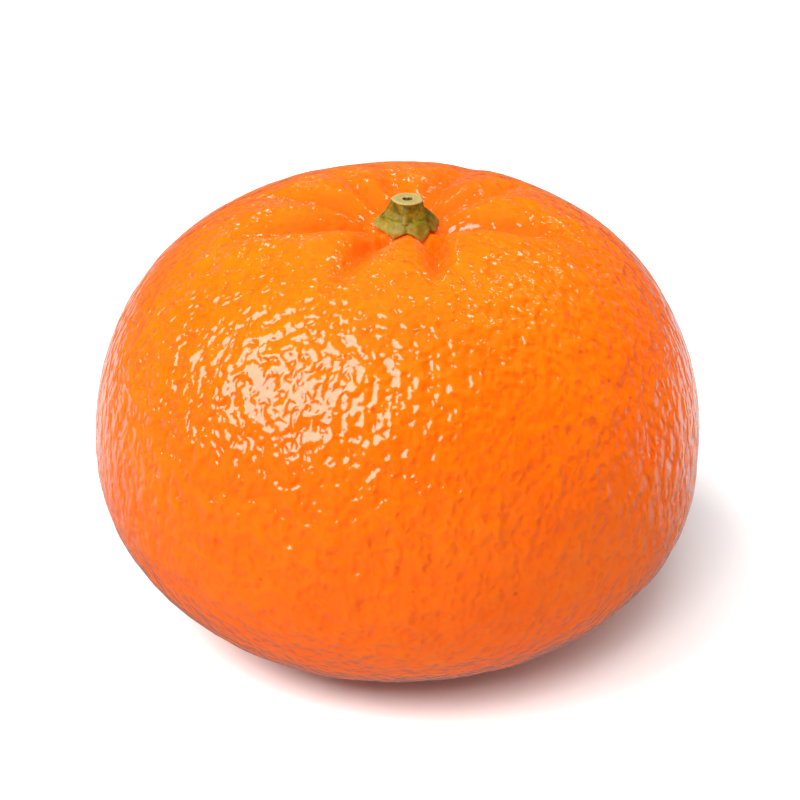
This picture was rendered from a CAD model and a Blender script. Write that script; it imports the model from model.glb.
"""The looks of the mandarin: its dimpled, waxy peel, its calyx and stem stub, in a white studio.

Metres, +Z up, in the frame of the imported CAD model. Azimuths run from +X towards +Y.
"""

from math import cos, pi, radians, sin

import bmesh
import bpy
import numpy as np
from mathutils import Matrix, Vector, noise


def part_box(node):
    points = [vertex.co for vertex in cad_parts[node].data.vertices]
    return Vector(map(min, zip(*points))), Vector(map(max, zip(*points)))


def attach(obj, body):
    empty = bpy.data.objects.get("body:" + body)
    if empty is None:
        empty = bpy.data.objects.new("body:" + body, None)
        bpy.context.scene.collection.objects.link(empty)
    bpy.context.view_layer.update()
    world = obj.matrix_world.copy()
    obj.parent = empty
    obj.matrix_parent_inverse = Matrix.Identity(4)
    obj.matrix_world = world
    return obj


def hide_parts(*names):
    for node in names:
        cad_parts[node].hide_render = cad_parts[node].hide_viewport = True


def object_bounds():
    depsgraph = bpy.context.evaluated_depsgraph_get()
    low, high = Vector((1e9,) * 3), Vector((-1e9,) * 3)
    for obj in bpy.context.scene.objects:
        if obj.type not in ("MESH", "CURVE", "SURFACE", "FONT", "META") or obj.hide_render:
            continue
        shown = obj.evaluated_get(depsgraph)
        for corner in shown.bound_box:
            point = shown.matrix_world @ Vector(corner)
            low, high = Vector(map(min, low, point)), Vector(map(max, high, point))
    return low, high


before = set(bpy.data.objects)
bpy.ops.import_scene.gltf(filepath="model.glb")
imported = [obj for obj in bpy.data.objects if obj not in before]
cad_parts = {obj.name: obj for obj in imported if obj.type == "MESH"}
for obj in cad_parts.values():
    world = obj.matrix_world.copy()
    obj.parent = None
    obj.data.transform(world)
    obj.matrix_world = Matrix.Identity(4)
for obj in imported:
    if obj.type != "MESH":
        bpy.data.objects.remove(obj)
CAD_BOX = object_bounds()
FRUIT_LOW, FRUIT_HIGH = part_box("fruit")
CALYX_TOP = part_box("calyx")[1].z
STUB_LOW, STUB_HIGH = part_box("stem_stub")

# One millimetre, on the CAD fruit that is 66 mm wide. Every size below is stated in it.
MM = (FRUIT_HIGH.y - FRUIT_LOW.y) / 66

# The body, as in the CAD. A fullness of 2 is an ellipse and more is squarer.
RADIUS = 33 * MM
GIRTH_HEIGHT = 22.1 * MM
UPPER_DOME = 29.3 * MM
LOWER_DOME = 22.7 * MM
UPPER_FULLNESS = 2.37
LOWER_FULLNESS = 2.02
CROWN_SHIFT = 1.2 * MM
GIRTH_DROP = 1.5 * MM
BASIN_DEPTH = 3.2 * MM
BASIN_RADIUS = 6.3 * MM
CREASE_START = 1.8 * MM
CREASE_FULL = 4.8 * MM
CREASE_FADE = 0.4  # the share of its reach where a crease starts to fade
CREASE_SOFTNESS = 0.4  # 0 would be a sharp fold
CREASE_MERGE = 3  # how sharply one crease takes over from its neighbour
# Each crease: azimuth at the stem and swing to its end in degrees, then depth, half width and
# reach in millimetres.
CREASES = (
    (302, -27, 2.6, 1.0, 19),
    (300, 8, 0.5, 4.0, 20),
    (242, 2, 2.5, 1.3, 20),
    (204, -18, 2.2, 1.6, 22),
    (166, -14, 1.5, 1.6, 21),
    (130, -8, 1.3, 1.6, 18),
    (98, 4, 1.3, 1.7, 19),
    (62, 6, 1.6, 1.9, 22),
    (30, 8, 1.4, 1.7, 20),
    (336, 18, 2.0, 1.7, 22),
)

# The resting spot and the dimple of the style in its middle.
SPOT_EDGE = 0.25 * MM  # how softly the body turns into the flat spot
SPOT_SHIFT = -0.8 * MM  # the spot's middle, along X
STYLE_RADIUS = 1.6 * MM
STYLE_DEPTH = 0.6 * MM

# The peel's relief as shape: how high each kind stands, in millimetres.
LUMP_HEIGHT = 0.14
SMALL_LUMP_HEIGHT = 0.06
NET_HEIGHT = 0.07
RIPPLE_HEIGHT = 0.05
FOLD_HEIGHT = 0.18
CROWN_SMOOTHNESS = 0.45  # the share of the net and the ripples that the crown lacks
FOLD_PERIOD = 2.4 * MM  # from one fold round the stem to the next
FOLDS_AROUND = 6  # how fast the folds change round the stem

# The stem's axis and levels, from the CAD.
STEM_X = (STUB_LOW.x + STUB_HIGH.x) / 2
STEM_Y = (STUB_LOW.y + STUB_HIGH.y) / 2
STUB_FOOT = STUB_LOW.z


def smoothstep(start, end, value):
    """0 up to start, 1 from end on, and a smooth rise between."""
    share = np.clip((value - start) / (end - start), 0.0, 1.0)
    return share * share * (3 - 2 * share)


def turn_between(angle, other):
    """The signed turn from other to angle, from -pi to pi."""
    return (angle - other + pi) % (2 * pi) - pi


# ---------------------------------------------------------------- the fruit


def dome(distance, height, fullness):
    share = np.minimum(1.0, distance / RADIUS)
    return height * (1 - share**fullness) ** (1 / fullness)


def basin(distance):
    return BASIN_DEPTH * np.exp(-((distance / BASIN_RADIUS) ** 2))


def crease(distance, azimuth):
    """How deep the creases between the segments lie here."""
    total = np.zeros_like(distance)
    opens = smoothstep(CREASE_START, CREASE_FULL, distance)
    for direction, swing, depth, half_width, reach in CREASES:
        middle = np.radians(direction + swing * distance / (reach * MM))
        across = distance * turn_between(azimuth, middle)
        valley = np.exp(CREASE_SOFTNESS - np.hypot(across / (half_width * MM), CREASE_SOFTNESS))
        fades = 1 - smoothstep(CREASE_FADE * reach * MM, reach * MM, distance)
        total += (depth * valley * opens * fades) ** CREASE_MERGE
    return MM * total ** (1 / CREASE_MERGE)


def crown_height(distance, azimuth):
    rise = dome(distance, UPPER_DOME, UPPER_FULLNESS)
    return GIRTH_HEIGHT + rise - basin(distance) - crease(distance, azimuth)


def leaned(x, y, z):
    """The points on the real, slightly lopsided fruit."""
    share = np.hypot(x, y) / RADIUS
    drop = GIRTH_DROP * share**3 * np.cos(np.arctan2(y, x))
    return np.stack([x + CROWN_SHIFT * (z - GIRTH_HEIGHT) / UPPER_DOME, y, z - drop], axis=1)


def body_points(unit):
    """The smooth body's points for points of the unit sphere."""
    distance = RADIUS * np.minimum(1.0, np.hypot(unit[:, 0], unit[:, 1]))
    azimuth = np.arctan2(unit[:, 1], unit[:, 0])
    upper = crown_height(distance, azimuth)
    lower = GIRTH_HEIGHT - dome(distance, LOWER_DOME, LOWER_FULLNESS)
    height = np.where(unit[:, 2] >= 0, upper, lower)
    points = leaned(distance * np.cos(azimuth), distance * np.sin(azimuth), height)
    below = points[:, 2]
    rounded = (below + SPOT_EDGE) ** 2 / (4 * SPOT_EDGE)
    points[:, 2] = np.where(np.abs(below) < SPOT_EDGE, rounded, np.maximum(below, 0.0))
    from_style = np.hypot(points[:, 0] - SPOT_SHIFT, points[:, 1])
    dimple = STYLE_DEPTH * (1 - smoothstep(0.5 * STYLE_RADIUS, STYLE_RADIUS, from_style))
    points[:, 2] += np.where(unit[:, 2] < 0, dimple, 0.0)
    return points


def noise_at(points, period, offset=0.0):
    """Smooth noise from about -1 to 1, whose features are about one period apart."""
    shift = Vector((offset, 0.37 * offset, -0.61 * offset))
    return np.array([noise.noise(Vector(point) / period + shift) for point in points])


def peel_relief(points, distance, azimuth):
    """How far the real peel stands out from the smooth body, in metres."""
    lumps = LUMP_HEIGHT * noise_at(points, 11 * MM) + SMALL_LUMP_HEIGHT * noise_at(points, 5 * MM, 7.0)
    upright = points * np.array([1, 1, 0.6])
    net = 1 - 2.2 * np.abs(noise_at(upright, 3.4 * MM, 19.0))
    ripples = noise_at(upright, 1.9 * MM, 23.0)
    wrinkles = NET_HEIGHT * net + RIPPLE_HEIGHT * ripples
    turn = (np.cos(azimuth) * FOLDS_AROUND, np.sin(azimuth) * FOLDS_AROUND)
    around = np.stack([*turn, distance / FOLD_PERIOD], axis=1)
    folds = FOLD_HEIGHT * noise_at(around, 1.0, 31.0)
    folds *= smoothstep(4 * MM, 8 * MM, distance) * (1 - smoothstep(14 * MM, 22 * MM, distance))
    on_top = smoothstep(GIRTH_HEIGHT, GIRTH_HEIGHT + 12 * MM, points[:, 2])
    relief = lumps + wrinkles * (1 - CROWN_SMOOTHNESS * on_top) + folds * on_top
    off_the_spot = smoothstep(0.0, 1.0 * MM, points[:, 2])
    under_the_calyx = smoothstep(2.5 * MM, 4.5 * MM, distance)
    return MM * relief * off_the_spot * np.where(points[:, 2] > GIRTH_HEIGHT, under_the_calyx, 1.0)


def mesh_array(mesh, values, name, width):
    """A mesh's per-element values as an array with a row for each element."""
    found = np.empty(len(values) * width, np.float32)
    values.foreach_get(name, found)
    return found.reshape(-1, width).astype(float)


PEEL_CUTS = 127  # across each side of the cube that the peel is blown up from
UV_MARGIN = 0.004
CREASE_SHADE_DEPTH = 1.5 * MM  # a crease this deep has its full colour


def sphere_of_squares(cuts):
    """A cube of fine squares, blown up to a unit sphere. Each side has its own tile of the UV map."""
    bm = bmesh.new()
    bmesh.ops.create_cube(bm, size=2.0)
    uv = bm.loops.layers.uv.new("OFBake")
    corners = ((0, 0), (1, 0), (1, 1), (0, 1))
    for index, face in enumerate(bm.faces):
        column, row = index % 3, index // 3
        for loop, (s, t) in zip(face.loops, corners):
            s = UV_MARGIN + s * (1 - 2 * UV_MARGIN)
            t = UV_MARGIN + t * (1 - 2 * UV_MARGIN)
            loop[uv].uv = ((column + s) / 3, (row + t) / 2)
    bmesh.ops.subdivide_edges(bm, edges=bm.edges, cuts=cuts, use_grid_fill=True)
    for vertex in bm.verts:
        even = Vector([np.tan(value * pi / 4) for value in vertex.co])
        vertex.co = even.normalized()
    mesh = bpy.data.meshes.new("fruit_peel")
    bm.to_mesh(mesh)
    bm.free()
    return mesh


def make_peel():
    """The body with the peel's relief. The attribute "crease" says how deep in a crease a point is."""
    mesh = sphere_of_squares(PEEL_CUTS)
    unit = mesh_array(mesh, mesh.vertices, "co", 3)
    distance = RADIUS * np.hypot(unit[:, 0], unit[:, 1])
    azimuth = np.arctan2(unit[:, 1], unit[:, 0])
    points = body_points(unit)
    mesh.vertices.foreach_set("co", points.astype(np.float32).ravel())
    mesh.update()
    normals = mesh_array(mesh, mesh.vertex_normals, "vector", 3)
    relief = peel_relief(points, distance, azimuth)
    points += relief[:, None] * normals
    mesh.vertices.foreach_set("co", points.astype(np.float32).ravel())
    depth = np.where(unit[:, 2] > 0, crease(distance, azimuth), 0.0) / CREASE_SHADE_DEPTH
    folded = mesh.attributes.new("crease", "FLOAT", "POINT")
    folded.data.foreach_set("value", np.clip(depth, 0, 1).astype(np.float32))
    mesh.shade_smooth()
    return link_object("fruit_peel", mesh)


def link_object(name, mesh):
    made = bpy.data.objects.new(name, mesh)
    bpy.context.scene.collection.objects.link(made)
    return made


# ---------------------------------------------------------------- the calyx and the stub

# Each corner of the calyx's outline: azimuth in degrees, reach in millimetres.
CALYX_CORNERS = (
    (5, 3.45),
    (50, 3.50),
    (95, 3.60),
    (137, 3.45),
    (178, 3.70),
    (238, 3.50),
    (268, 3.15),
    (295, 3.70),
    (331, 3.50),
)
# Where two lobes part, the rim is notched. Each notch: azimuth, depth in millimetres.
CALYX_NOTCHES = ((236, 0.22), (268, 0.15), (322, 0.30), (28, 0.25), (115, 0.25), (160, 0.20))
NOTCH_HALF_WIDTH = radians(5)
# Rings of its underside: share of the reach, rise above the seat in millimetres.
CALYX_UNDERSIDE = ((0.995, 0.15), (0.975, 0.04), (0.93, 0.0), (0.7, -0.1), (0.4, -0.15), (0.0, -0.15))
CALYX_THICKNESS = 0.95 * MM
SEAT_GAP = 0.1 * MM  # between the calyx and the peel
MIDDLE_DROP = 0.25 * MM  # from the CAD calyx's top to the level middle
STUB_FOOT_RADIUS = 2.4 * MM  # the level middle ends here, under the stub


def polygon_reach(azimuth, corners):
    """How far a many-sided outline reaches in each direction, in the corners' own unit."""
    reach = np.zeros_like(azimuth)
    for (start, near), (end, far) in zip(corners, corners[1:] + corners[:1]):
        width = radians((end - start) % 360)
        turn = (azimuth - radians(start)) % (2 * pi)
        side = near * far * sin(width) / (near * np.sin(turn) + far * np.sin(width - turn))
        reach = np.where(turn <= width, side, reach)
    return reach


def rounded(values, steps):
    """The values round a ring, each averaged with its neighbours up to some steps away."""
    return sum(np.roll(values, step) for step in range(-steps, steps + 1)) / (2 * steps + 1)


def calyx_reach(azimuth):
    reach = rounded(polygon_reach(azimuth, CALYX_CORNERS), 4)
    for direction, depth in CALYX_NOTCHES:
        off = turn_between(azimuth, radians(direction)) / NOTCH_HALF_WIDTH
        reach = reach - depth * np.exp(-(off**2))
    return reach * MM


def disc_grid(name, around, rings):
    """A closed skin: rings of points round an axis, with a pole at each end. rings is a list of arrays."""
    bm = bmesh.new()
    loops = [[bm.verts.new(point) for point in ring] for ring in rings[1:-1]]
    first = bm.verts.new(rings[0][0])
    last = bm.verts.new(rings[-1][0])
    for here in range(around):
        after = (here + 1) % around
        bm.faces.new((first, loops[0][here], loops[0][after]))
        bm.faces.new((last, loops[-1][after], loops[-1][here]))
        for upper, lower in zip(loops, loops[1:]):
            bm.faces.new((upper[here], lower[here], lower[after], upper[after]))
    bmesh.ops.recalc_face_normals(bm, faces=bm.faces)
    mesh = bpy.data.meshes.new(name)
    bm.to_mesh(mesh)
    bm.free()
    mesh.shade_smooth()
    return mesh


def make_calyx():
    """The leathery collar: a level middle, and a blunt bevelled rim of straight facets."""
    around = 240
    azimuth = np.linspace(0, 2 * pi, around, endpoint=False)
    reach = calyx_reach(azimuth)
    level = CALYX_TOP - MIDDLE_DROP
    upper = np.concatenate([np.linspace(0, 0.76, 20), np.linspace(0.79, 0.97, 9), [0.985, 0.995, 1.0]])
    rings = []
    for share in upper:
        distance = share * reach
        seat = crown_height(distance, azimuth) + SEAT_GAP
        bevel = 1 - 0.45 * smoothstep(0.80, 0.985, share) - 0.25 * smoothstep(0.97, 1.0, share)
        slopes = smoothstep(STUB_FOOT_RADIUS, 0.85 * reach, distance)
        rings.append((distance, level + slopes * (seat + CALYX_THICKNESS * bevel - level)))
    for share, rise in CALYX_UNDERSIDE:
        distance = share * reach
        rings.append((distance, crown_height(distance, azimuth) + SEAT_GAP + rise * MM))
    shaped = []
    for distance, height in rings:
        points = leaned(distance * np.cos(azimuth), distance * np.sin(azimuth), height)
        rough = 0.05 * noise_at(points, 1.3 * MM, 3.0) + 0.02 * noise_at(points, 0.45 * MM, 5.0)
        points[:, 2] += MM * rough
        outwards = points[:, :2] - np.array([STEM_X, STEM_Y])
        points[:, :2] += outwards * (0.6 * rough)[:, None]
        shaped.append(points - np.array([STEM_X, STEM_Y, STUB_FOOT]))
    made = link_object("calyx_collar", disc_grid("calyx_collar", around, shaped))
    made.location = (STEM_X, STEM_Y, STUB_FOOT)
    return made


# The stub's section at its foot has corners, and it rounds off towards the cut. Each corner:
# azimuth in degrees, reach as a share of the radius.
STUB_CORNERS = ((52, 1.02), (120, 1.02), (183, 1.14), (262, 1.03), (328, 1.10))
# Radius and height of the stub's outline from its foot to its cut, in millimetres from the cut.
STUB_OUTLINE = (
    (2.65, -1.95),
    (2.30, -1.55),
    (2.12, -1.30),
    (1.99, -1.05),
    (1.90, -0.75),
    (1.80, -0.45),
    (1.70, -0.12),
    (1.64, -0.03),
    (1.52, 0.0),
)
# Rings of the cut face, which sinks a little: share of the cut's radius, height in millimetres.
CUT_FACE = ((0.92, 0.0), (0.8, -0.02), (0.6, -0.05), (0.45, -0.03))
# Rings of the hole in the pith: radius and height in millimetres. Its section is a heart, whose
# notch has an azimuth, a half width and a depth as a share of the radius.
PITH_HOLE = ((0.56, -0.04), (0.52, -0.10), (0.44, -0.30), (0.25, -0.38))
PITH_FLOOR = -0.40
PITH_NOTCH = radians(90)
PITH_NOTCH_HALF_WIDTH = radians(28)
PITH_NOTCH_DEPTH = 0.42
SQUARE_AT = 1.2 * MM  # this far below the cut the bark has its full corners


def make_stub():
    """The cut stub: a few flat sides down its bark, a cut face and a heart-shaped hole of pith."""
    around, steps = 180, 6
    azimuth = np.linspace(0, 2 * pi, around, endpoint=False)
    outline = np.array(STUB_OUTLINE) * MM
    marks = np.arange(len(outline))
    fine = np.linspace(0, len(outline) - 1, steps * (len(outline) - 1) + 1)
    radii = np.interp(fine, marks, outline[:, 0])
    heights = np.interp(fine, marks, outline[:, 1])
    corners = rounded(polygon_reach(azimuth, STUB_CORNERS), 4)
    rings = []
    for radius, height in zip(radii, heights):
        angular = 0.35 + 0.65 * np.clip(-height / SQUARE_AT, 0, 1)
        rings.append((radius * (1 + angular * (corners - 0.97)), np.full(around, height)))
    top = rings[-1][0]
    for share, level in CUT_FACE:
        rings.append((top * share, np.full(around, level * MM)))
    off = turn_between(azimuth, PITH_NOTCH) / PITH_NOTCH_HALF_WIDTH
    heart = 1 - PITH_NOTCH_DEPTH * np.exp(-(off**2))
    for radius, level in PITH_HOLE:
        rings.append((radius * MM * heart, np.full(around, level * MM)))
    shaped = [np.array([[0, 0, STUB_OUTLINE[0][1] * MM]])]
    for radius, height in rings:
        points = np.stack([radius * np.cos(azimuth), radius * np.sin(azimuth), height], axis=1)
        rough = 0.03 * noise_at(points, 0.8 * MM, 11.0) + 0.015 * noise_at(points, 0.3 * MM, 13.0)
        points[:, :2] *= (1 + rough)[:, None]
        points[:, 2] += MM * rough
        shaped.append(points)
    shaped.append(np.array([[0, 0, PITH_FLOOR * MM]]))
    made = link_object("stem_cut", disc_grid("stem_cut", around, shaped))
    made.location = (STEM_X, STEM_Y, STUB_HIGH.z)
    return made


# ---------------------------------------------------------------- materials


def node(tree, kind, inputs=None, **settings):
    """Adds a node. Each input is a value, or the output that feeds it."""
    made = tree.nodes.new(kind)
    for name, value in settings.items():
        setattr(made, name, value)
    for name, value in (inputs or {}).items():
        if isinstance(value, bpy.types.NodeSocket):
            tree.links.new(value, made.inputs[name])
        else:
            made.inputs[name].default_value = value
    return made


def new_material(name):
    """A material with nothing in it but a Principled BSDF and its output."""
    made = bpy.data.materials.new(name)
    made.use_nodes = True
    return made, made.node_tree, made.node_tree.nodes["Principled BSDF"]


def object_place(tree):
    return node(tree, "ShaderNodeTexCoord").outputs["Object"]


def noise_texture(tree, place, period, detail=2.0, roughness=0.5):
    inputs = {"Vector": place, "Scale": 1 / period, "Detail": detail, "Roughness": roughness}
    return node(tree, "ShaderNodeTexNoise", inputs).outputs["Fac"]


def remapped(tree, value, low, high, to_low=0.0, to_high=1.0, **settings):
    inputs = {"Value": value, "From Min": low, "From Max": high, "To Min": to_low, "To Max": to_high}
    return node(tree, "ShaderNodeMapRange", inputs, **settings).outputs["Result"]


def maths(tree, operation, first, second):
    made = node(tree, "ShaderNodeMath", {0: first, 1: second}, operation=operation)
    return made.outputs[0]


def vector_maths(tree, operation, inputs):
    return node(tree, "ShaderNodeVectorMath", inputs, operation=operation)


def from_axis(tree, place):
    """How far a place is from the object's own upright axis."""
    flat = vector_maths(tree, "MULTIPLY", {0: place, 1: (1, 1, 0)}).outputs[0]
    return vector_maths(tree, "LENGTH", {0: flat}).outputs["Value"]


def part_of(tree, place, axis):
    return node(tree, "ShaderNodeSeparateXYZ", {"Vector": place}).outputs[axis]


def mixed(tree, factor, first, second):
    """first where factor is 0 and second where it is 1. Each is a colour or an output."""
    made = tree.nodes.new("ShaderNodeMix")
    made.data_type = "RGBA"
    for index, value in ((0, factor), (6, first), (7, second)):
        if isinstance(value, bpy.types.NodeSocket):
            tree.links.new(value, made.inputs[index])
        else:
            made.inputs[index].default_value = value
    return made.outputs[2]


def scaled(tree, value, factor):
    return maths(tree, "MULTIPLY", value, factor)


def blotched(tree, pattern, dark, pale):
    """Two colours in soft patches of the pattern."""
    return mixed(tree, remapped(tree, pattern, 0.35, 0.65), dark, pale)


# How deep the gland pits are, and how high the peel's fine relief is, all in the bump.
PIT_DEPTH = 0.13 * MM
WORM_HEIGHT = 0.44 * MM
WRINKLE_HEIGHT = 0.55 * MM
GRAIN_HEIGHT = 0.010 * MM

PEEL_ORANGE = (0.965, 0.132, 0.0004, 1)
PEEL_YELLOWER = (0.98, 0.160, 0.0006, 1)
PIT_ORANGE = (0.93, 0.090, 0.0003, 1)
BLUSH_ORANGE = (0.94, 0.100, 0.0003, 1)
CREASE_RED = (0.95, 0.080, 0.0003, 1)
SPECK_BROWN = (0.50, 0.03, 0.001, 1)
CALYX_GREEN = (0.14, 0.115, 0.0005, 1)
CALYX_PALE_GREEN = (0.27, 0.225, 0.001, 1)
DRIED_GREEN = (0.23, 0.19, 0.020, 1)
DRIED_PALE = (0.36, 0.31, 0.060, 1)
BARK_DARK = (0.09, 0.065, 0.0003, 1)
BARK_PALE = (0.26, 0.20, 0.0008, 1)
WOOD_DARK = (0.42, 0.31, 0.075, 1)
WOOD_PALE = (0.66, 0.52, 0.20, 1)
RING_GREEN = (0.36, 0.29, 0.08, 1)
PITH_BROWN = (0.10, 0.06, 0.006, 1)


def peel_bump(tree, place, pits, worms, wrinkles):
    """The relief too fine for the mesh. It is flatter round the stem and on the underside."""
    height = scaled(tree, pits, PIT_DEPTH)
    height = maths(tree, "ADD", height, scaled(tree, worms, WORM_HEIGHT))
    height = maths(tree, "ADD", height, scaled(tree, wrinkles, WRINKLE_HEIGHT))
    level = part_of(tree, place, "Z")
    crown = remapped(tree, level, GIRTH_HEIGHT, GIRTH_HEIGHT + 8 * MM)
    near_stem = remapped(tree, from_axis(tree, place), 9 * MM, 24 * MM, 0.6, 0.0)
    smooth = maths(tree, "MULTIPLY", crown, near_stem)
    height = maths(tree, "MULTIPLY", height, maths(tree, "SUBTRACT", 1.0, smooth))
    under = remapped(tree, level, 6 * MM, GIRTH_HEIGHT + 4 * MM, 0.5, 1.0)
    height = maths(tree, "MULTIPLY", height, under)
    grain = noise_texture(tree, place, 0.35 * MM, detail=1.0)
    height = maths(tree, "ADD", height, scaled(tree, grain, GRAIN_HEIGHT))
    bump = node(tree, "ShaderNodeBump", {"Height": height, "Strength": 1.0, "Distance": 1.0})
    return bump.outputs["Normal"]


def gland_pits(tree, place, upright):
    """0 in the middle of each oil gland's pit and 1 between them. The cells are uneven."""
    wander = node(tree, "ShaderNodeTexNoise", {"Vector": place, "Scale": 1 / (1.6 * MM), "Detail": 1.0})
    nudge = vector_maths(tree, "SUBTRACT", {0: wander.outputs["Color"], 1: (0.5, 0.5, 0.5)}).outputs[0]
    nudge = vector_maths(tree, "SCALE", {0: nudge, "Scale": 1.3 * MM}).outputs[0]
    nudged = vector_maths(tree, "ADD", {0: upright, 1: nudge}).outputs[0]
    glands = node(tree, "ShaderNodeTexVoronoi", {"Vector": nudged, "Scale": 1 / (1.05 * MM)})
    return remapped(tree, glands.outputs["Distance"], 0.02, 0.62, interpolation_type="SMOOTHSTEP")


def peel_material():
    """Waxy orange peel: pitted oil glands, fine wrinkles, mottled colour and a few dark specks."""
    made, tree, shader = new_material("peel")
    place = object_place(tree)
    upright = vector_maths(tree, "MULTIPLY", {0: place, 1: (1, 1, 0.75)}).outputs[0]
    pits = gland_pits(tree, place, upright)
    worms = noise_texture(tree, upright, 1.5 * MM, detail=1.0)
    wrinkles = noise_texture(tree, upright, 3.0 * MM, detail=2.0)
    normal = peel_bump(tree, place, pits, worms, wrinkles)

    mottle = noise_texture(tree, place, 9 * MM, detail=3.0)
    colour = mixed(tree, remapped(tree, mottle, 0.3, 0.7), PEEL_ORANGE, PEEL_YELLOWER)
    colour = mixed(tree, remapped(tree, pits, 0.1, 0.9, 0.35, 0.0), colour, PIT_ORANGE)
    colour = mixed(tree, remapped(tree, worms, 0.35, 0.65, 0.30, 0.0), colour, BLUSH_ORANGE)
    crease_depth = node(tree, "ShaderNodeAttribute", attribute_name="crease").outputs["Fac"]
    colour = mixed(tree, scaled(tree, crease_depth, 0.7), colour, CREASE_RED)
    specks = node(tree, "ShaderNodeTexVoronoi", {"Vector": place, "Scale": 1 / (4.2 * MM)})
    speck = remapped(tree, specks.outputs["Distance"], 0.035, 0.075, 1.0, 0.0)
    colour = mixed(tree, scaled(tree, speck, 0.5), colour, SPECK_BROWN)

    tree.links.new(colour, shader.inputs["Base Color"])
    tree.links.new(normal, shader.inputs["Normal"])
    tree.links.new(normal, shader.inputs["Coat Normal"])
    tree.links.new(remapped(tree, worms, 0.3, 0.7, 0.42, 0.50), shader.inputs["Roughness"])
    shader.inputs["IOR"].default_value = 1.4
    shader.inputs["Specular IOR Level"].default_value = 0.04
    shader.inputs["Coat Weight"].default_value = 1.0
    shader.inputs["Coat IOR"].default_value = 1.5
    shader.inputs["Coat Roughness"].default_value = 0.045
    shader.inputs["Subsurface Weight"].default_value = 0.10
    shader.inputs["Subsurface Radius"].default_value = (1.0, 0.35, 0.1)
    shader.inputs["Subsurface Scale"].default_value = 1.0 * MM
    return made


def stem_finish(tree, shader, blotches, grain, grain_share, bump_depth):
    """The matt, slightly rough surface that the calyx and the stub share."""
    relief = maths(tree, "ADD", blotches, scaled(tree, grain, grain_share))
    bump = node(tree, "ShaderNodeBump", {"Height": relief, "Strength": 0.6, "Distance": bump_depth})
    tree.links.new(bump.outputs["Normal"], shader.inputs["Normal"])
    tree.links.new(remapped(tree, grain, 0.3, 0.7, 0.45, 0.60), shader.inputs["Roughness"])
    shader.inputs["Specular IOR Level"].default_value = 0.2


def calyx_material():
    """Tough olive-green skin that has dried grey-green towards its rim."""
    made, tree, shader = new_material("calyx")
    place = object_place(tree)
    patches = noise_texture(tree, place, 3.0 * MM, detail=1.0)
    blotches = noise_texture(tree, place, 0.9 * MM, detail=4.0, roughness=0.6)
    grain = noise_texture(tree, place, 0.22 * MM, detail=3.0, roughness=0.6)
    fresh = blotched(tree, blotches, CALYX_GREEN, CALYX_PALE_GREEN)
    dried = blotched(tree, blotches, DRIED_GREEN, DRIED_PALE)
    edge = maths(tree, "ADD", from_axis(tree, place), scaled(tree, blotches, 0.6 * MM))
    rim = remapped(tree, edge, 2.9 * MM, 3.4 * MM)
    rim = maths(tree, "MULTIPLY", rim, remapped(tree, patches, 0.35, 0.6, 0.25, 1.0))
    tree.links.new(mixed(tree, rim, fresh, dried), shader.inputs["Base Color"])
    stem_finish(tree, shader, blotches, grain, 0.3, 0.10 * MM)
    return made


def stub_material():
    """Olive bark, and on top the pale cut wood, with a greener ring, round a darker pith."""
    made, tree, shader = new_material("stem")
    place = object_place(tree)
    height = part_of(tree, place, "Z")
    radius = from_axis(tree, place)
    blotches = noise_texture(tree, place, 0.8 * MM, detail=4.0, roughness=0.6)
    grain = noise_texture(tree, place, 0.18 * MM, detail=3.0, roughness=0.6)
    bark = blotched(tree, blotches, BARK_DARK, BARK_PALE)
    wood = mixed(tree, remapped(tree, grain, 0.3, 0.7), WOOD_DARK, WOOD_PALE)
    band = maths(tree, "ADD", radius, scaled(tree, grain, 0.25 * MM))
    inside = remapped(tree, band, 1.15 * MM, 1.4 * MM, 1.0, 0.0)
    ring = maths(tree, "MULTIPLY", remapped(tree, band, 0.80 * MM, 1.0 * MM), inside)
    wood = mixed(tree, scaled(tree, ring, 0.45), wood, RING_GREEN)
    sunken = remapped(tree, height, -0.10 * MM, -0.04 * MM, 1.0, 0.0)
    pith = maths(tree, "MULTIPLY", sunken, remapped(tree, radius, 0.60 * MM, 0.66 * MM, 1.0, 0.0))
    wood = mixed(tree, pith, wood, PITH_BROWN)
    cut_level = maths(tree, "ADD", height, scaled(tree, grain, 0.06 * MM))
    on_cut = remapped(tree, cut_level, -0.10 * MM, -0.04 * MM)
    on_cut = maths(tree, "MAXIMUM", on_cut, remapped(tree, radius, 0.66 * MM, 0.72 * MM, 1.0, 0.0))
    tree.links.new(mixed(tree, on_cut, bark, wood), shader.inputs["Base Color"])
    stem_finish(tree, shader, blotches, grain, 0.4, 0.08 * MM)
    return made


# ---------------------------------------------------------------- the studio

LIGHT_DISTANCE = 0.9
SKY_LEVEL = 0.5  # how bright the room is as light
HORIZON_MIRRORED = 0.45  # how bright the room is in the gloss, at the horizon
SKY_MIRRORED = 0.02  # and above it
HORIZON_HEIGHT = 0.14  # the sine of the angle where the horizon's brightness ends
FLOOR_HALF_WIDTH = 3.0
FLOOR_COLOUR = 0.50  # as light that the floor throws back
FLOOR_SEEN = 0.88  # as the camera sees it
FRONT_MIRRORED = 0.18  # how bright the floor is in the gloss, beside the fruit and in front of it
BACK_MIRRORED = 0.85  # and behind it
FAR_MIRRORED = 0.1  # the share of that which is left far from the fruit


def direction(azimuth, elevation):
    azimuth, elevation = radians(azimuth), radians(elevation)
    return Vector((cos(elevation) * cos(azimuth), cos(elevation) * sin(azimuth), sin(elevation)))


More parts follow.
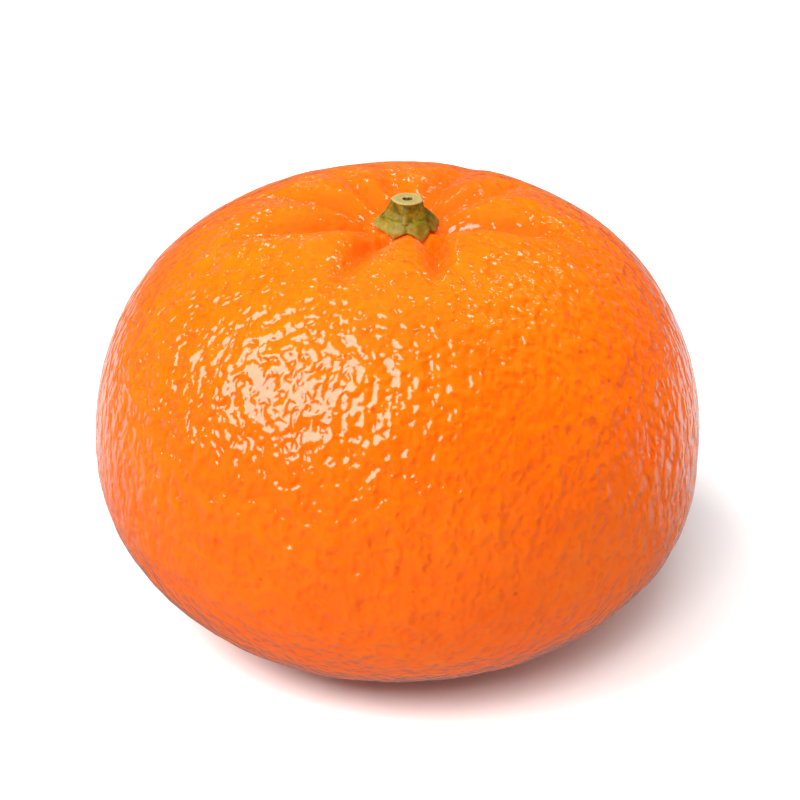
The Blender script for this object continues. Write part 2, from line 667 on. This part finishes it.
def add_softbox(name, azimuth, elevation, size, radiance, mirrored=True, lights=True):
    """A square area light that faces the fruit, mirrored in its gloss, lighting it, or both."""
    light = bpy.data.lights.new(name, "AREA")
    light.shape = "SQUARE"
    light.size = size
    light.energy = radiance * pi * size * size
    made = bpy.data.objects.new(name, light)
    bpy.context.scene.collection.objects.link(made)
    towards = direction(azimuth, elevation)
    made.location = Vector((0, 0, GIRTH_HEIGHT)) + LIGHT_DISTANCE * towards
    made.rotation_euler = (-towards).to_track_quat("-Z", "Y").to_euler()
    made.visible_camera = False
    made.visible_glossy = mirrored
    made.visible_diffuse = lights
    return made


def grey(level):
    return (level, level, level, 1)


def make_world():
    """A white room: white where it is seen, softer as light, and mirrored only near the horizon."""
    world = bpy.data.worlds.new("studio")
    bpy.context.scene.world = world
    world.use_nodes = True
    tree = world.node_tree
    background = tree.nodes["Background"]
    path = node(tree, "ShaderNodeLightPath")
    up = part_of(tree, node(tree, "ShaderNodeTexCoord").outputs["Generated"], "Z")
    mirrored = remapped(tree, up, 0.0, HORIZON_HEIGHT, HORIZON_MIRRORED, SKY_MIRRORED)
    level = mixed(tree, path.outputs["Is Glossy Ray"], grey(SKY_LEVEL), mirrored)
    level = mixed(tree, path.outputs["Is Camera Ray"], level, grey(1))
    tree.links.new(level, background.inputs["Color"])


def make_floor():
    """A pale matt table. The peel mirrors mostly the part of it that lies behind the fruit."""
    bm = bmesh.new()
    bmesh.ops.create_grid(bm, x_segments=8, y_segments=8, size=FLOOR_HALF_WIDTH)
    mesh = bpy.data.meshes.new("floor")
    bm.to_mesh(mesh)
    bm.free()
    floor = link_object("floor", mesh)
    floor.location.z = CAD_BOX[0][2]
    made, tree, shader = new_material("floor")
    path = node(tree, "ShaderNodeLightPath")
    colour = mixed(tree, path.outputs["Is Camera Ray"], grey(FLOOR_COLOUR), grey(FLOOR_SEEN))
    tree.links.new(colour, shader.inputs["Base Color"])
    shader.inputs["Roughness"].default_value = 0.8
    shader.inputs["Specular IOR Level"].default_value = 0.0
    place = object_place(tree)
    behind = remapped(tree, part_of(tree, place, "Y"), 0.0, 45 * MM, FRONT_MIRRORED, BACK_MIRRORED)
    near = remapped(tree, from_axis(tree, place), 100 * MM, 190 * MM, 1.0, FAR_MIRRORED)
    mirrored = node(tree, "ShaderNodeEmission", {"Strength": maths(tree, "MULTIPLY", behind, near)})
    shaders = {0: path.outputs["Is Glossy Ray"], 1: shader.outputs[0], 2: mirrored.outputs[0]}
    either = node(tree, "ShaderNodeMixShader", shaders)
    tree.links.new(either.outputs[0], tree.nodes["Material Output"].inputs["Surface"])
    floor.data.materials.append(made)
    return floor


def light_only(light, receiver):
    """The light shines on the receiver alone."""
    group = bpy.data.collections.new(light.name)
    group.objects.link(receiver)
    light.light_linking.receiver_collection = group


# The camera, from the middle of the fruit's girth. It aims a little above and right of it.
CAMERA_ELEVATION = 28
CAMERA_DISTANCE = 297 * MM
AIM_UP, AIM_RIGHT = 4.72 * MM, 0.32 * MM
LENS = 120.9
CLIP_START = 0.01


def make_camera():
    """The photo's view, from the front and a little above."""
    data = bpy.data.cameras.new("camera")
    data.lens = LENS
    data.clip_start = CLIP_START
    camera = bpy.data.objects.new("camera", data)
    bpy.context.scene.collection.objects.link(camera)
    centre = Vector((0, 0, GIRTH_HEIGHT))
    towards = direction(-90, CAMERA_ELEVATION)
    camera.location = centre + CAMERA_DISTANCE * towards
    right = Vector((1, 0, 0))
    up = towards.cross(right)
    aim = centre + AIM_UP * up + AIM_RIGHT * right
    camera.rotation_euler = (aim - camera.location).to_track_quat("-Z", "Y").to_euler()
    bpy.context.scene.camera = camera


# ---------------------------------------------------------------- the scene


def dress(piece, material, cad_node):
    """Gives a piece its looks and ties it to the CAD node that it replaces."""
    piece.data.materials.append(material)
    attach(piece, "root")
    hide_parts(cad_node)


peel = make_peel()
dress(peel, peel_material(), "fruit")
dress(make_calyx(), calyx_material(), "calyx")
dress(make_stub(), stub_material(), "stem_stub")
make_camera()
table = make_floor()
make_world()
add_softbox("key", azimuth=213, elevation=51, size=0.62, radiance=8.0, mirrored=False)
add_softbox("key_gloss", azimuth=213, elevation=48, size=0.76, radiance=9.0, lights=False)
add_softbox("back_right", azimuth=52, elevation=52, size=0.13, radiance=9.0, lights=False)
add_softbox("back_left", azimuth=103, elevation=31, size=0.08, radiance=7.0, lights=False)
overhead = add_softbox("overhead", azimuth=60, elevation=70, size=0.9, radiance=4.0, mirrored=False)
light_only(overhead, peel)
table_light = add_softbox("table_light", azimuth=264, elevation=46, size=0.35, radiance=22, mirrored=False)
light_only(table_light, table)
bpy.context.scene.view_settings.view_transform = "Standard"
